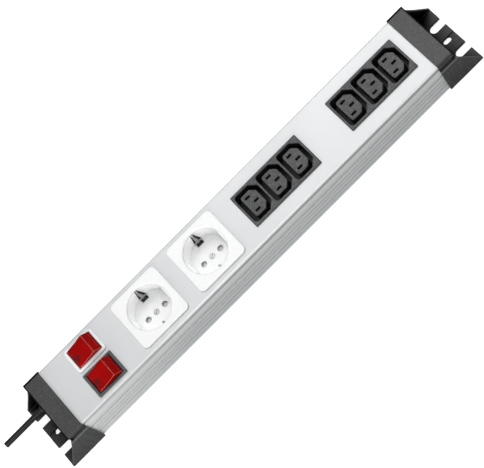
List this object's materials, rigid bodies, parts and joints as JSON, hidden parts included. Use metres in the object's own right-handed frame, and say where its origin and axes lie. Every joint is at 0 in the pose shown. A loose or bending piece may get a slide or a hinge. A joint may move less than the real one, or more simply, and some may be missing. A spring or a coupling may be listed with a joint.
{
  "type": "rack power strip",
  "caption": "19 inch aluminium power strip with black foot-flanged end caps, lit rocker switches, recessed earthed sockets, appliance outlet blocks and a mains cable",
  "frame": {"origin": "centre of the rear mounting plane, midway between the two end flanges", "axes": "+X along the strip from the cable end to the far end, +Y across it, +Z out of the socket face"},
  "size_m": [0.5108, 0.067, 0.0539],
  "materials": {
    "anodised_aluminium": "satin anodised, fine lengthwise extrusion grain",
    "plain_aluminium": "mill finish",
    "zinc_steel": "zinc plated",
    "black_cap_plastic": "fine moulded grain",
    "black_sheath": "smooth flexible sheath",
    "black_rubber": "soft matt rubber",
    "grey_plastic": "moulded polyamide",
    "brown_insulation": "smooth wire insulation",
    "blue_insulation": "smooth wire insulation",
    "green_yellow_insulation": "green with a yellow stripe",
    "copper": "bare copper strand",
    "white_plastic": "satin white moulding",
    "black_switch_plastic": "fine moulded grain",
    "red_translucent": "deep red translucent, glossy",
    "lamp_glass": "clear glow lamp",
    "brass": "stamped strip",
    "spring_steel": "drawn wire",
    "nickel_steel": "nickel plated strip",
    "shutter_plastic": "smooth moulding",
    "base_plastic": "thermoset insulator",
    "black_outlet_plastic": "fine spark-eroded grain"
  },
  "bodies": {
    "strip": {"base_plate": "plain_aluminium", "busbar_earth": "brass", "busbar_live": "brass", "busbar_neutral": "brass", "busbar_supports": "grey_plastic", "cable_clamp": "grey_plastic", "cable_clamp_screws": "zinc_steel", "cable_copper": "copper", "cable_core_earth": "green_yellow_insulation", "cable_core_live": "brown_insulation", "cable_core_neutral": "blue_insulation", "cable_grommet": "black_rubber", "cable_sheath": "black_sheath", "earth_screw": "zinc_steel", "end_cap_cable_side": "black_cap_plastic", "end_cap_far_side": "black_cap_plastic", "end_cap_screws_cable_side": "zinc_steel", "end_cap_screws_far_side": "zinc_steel", "housing_profile": "anodised_aluminium", "iec_1_contact_earth": "brass", "iec_1_contact_live": "brass", "iec_1_contact_neutral": "brass", "iec_1_cover": "black_outlet_plastic", "iec_1_face": "black_outlet_plastic", "iec_2_contact_earth": "brass", "iec_2_contact_live": "brass", "iec_2_contact_neutral": "brass", "iec_2_cover": "black_outlet_plastic", "iec_2_face": "black_outlet_plastic", "schuko_1_base": "base_plastic", "schuko_1_centre_screw": "zinc_steel", "schuko_1_contact_live": "brass", "schuko_1_contact_neutral": "brass", "schuko_1_earth_clip": "nickel_steel", "schuko_1_face": "white_plastic", "schuko_2_base": "base_plastic", "schuko_2_centre_screw": "zinc_steel", "schuko_2_contact_live": "brass", "schuko_2_contact_neutral": "brass", "schuko_2_earth_clip": "nickel_steel", "schuko_2_face": "white_plastic", "switch_1_housing": "white_plastic", "switch_1_terminals": "brass", "switch_2_housing": "black_switch_plastic", "switch_2_terminals": "brass", "switch_links": "brown_insulation"},
    "rocker_1": {"switch_1_rocker": "red_translucent", "switch_1_lamp": "lamp_glass", "switch_1_plungers": "brass", "switch_1_springs": "spring_steel"},
    "levers_1": {"switch_1_levers": "brass"},
    "shutter_1": {"schuko_1_shutter": "shutter_plastic"},
    "rocker_2": {"switch_2_rocker": "red_translucent", "switch_2_lamp": "lamp_glass", "switch_2_plungers": "brass", "switch_2_springs": "spring_steel"},
    "levers_2": {"switch_2_levers": "brass"},
    "shutter_2": {"schuko_2_shutter": "shutter_plastic"}
  },
  "joints": [
    {"name": "rocker_1_tilt", "type": "hinge", "parent": "strip", "child": "rocker_1", "pos_m": [-0.1626, 0.01405, 0.0452], "axis": [0, 1, 0], "range_deg": [0, 26]},
    {"name": "levers_1_tilt", "type": "hinge", "parent": "strip", "child": "levers_1", "pos_m": [-0.1626, 0.01405, 0.03262], "axis": [0, 1, 0], "range_deg": [-12, 0]},
    {"name": "shutter_1_slide", "type": "slide", "parent": "strip", "child": "shutter_1", "axis": [0, 1, 0], "range_m": [0, 0.006]},
    {"name": "rocker_2_tilt", "type": "hinge", "parent": "strip", "child": "rocker_2", "pos_m": [-0.1626, -0.01405, 0.0452], "axis": [0, 1, 0], "range_deg": [0, 26]},
    {"name": "levers_2_tilt", "type": "hinge", "parent": "strip", "child": "levers_2", "pos_m": [-0.1626, -0.01405, 0.03262], "axis": [0, 1, 0], "range_deg": [-12, 0]},
    {"name": "shutter_2_slide", "type": "slide", "parent": "strip", "child": "shutter_2", "axis": [0, 1, 0], "range_m": [0, 0.006]}
  ],
  "couplings": [
    {"joint": "levers_1_tilt", "follows": "rocker_1_tilt", "ratio": -0.46154},
    {"joint": "levers_2_tilt", "follows": "rocker_2_tilt", "ratio": -0.46154}
  ]
}
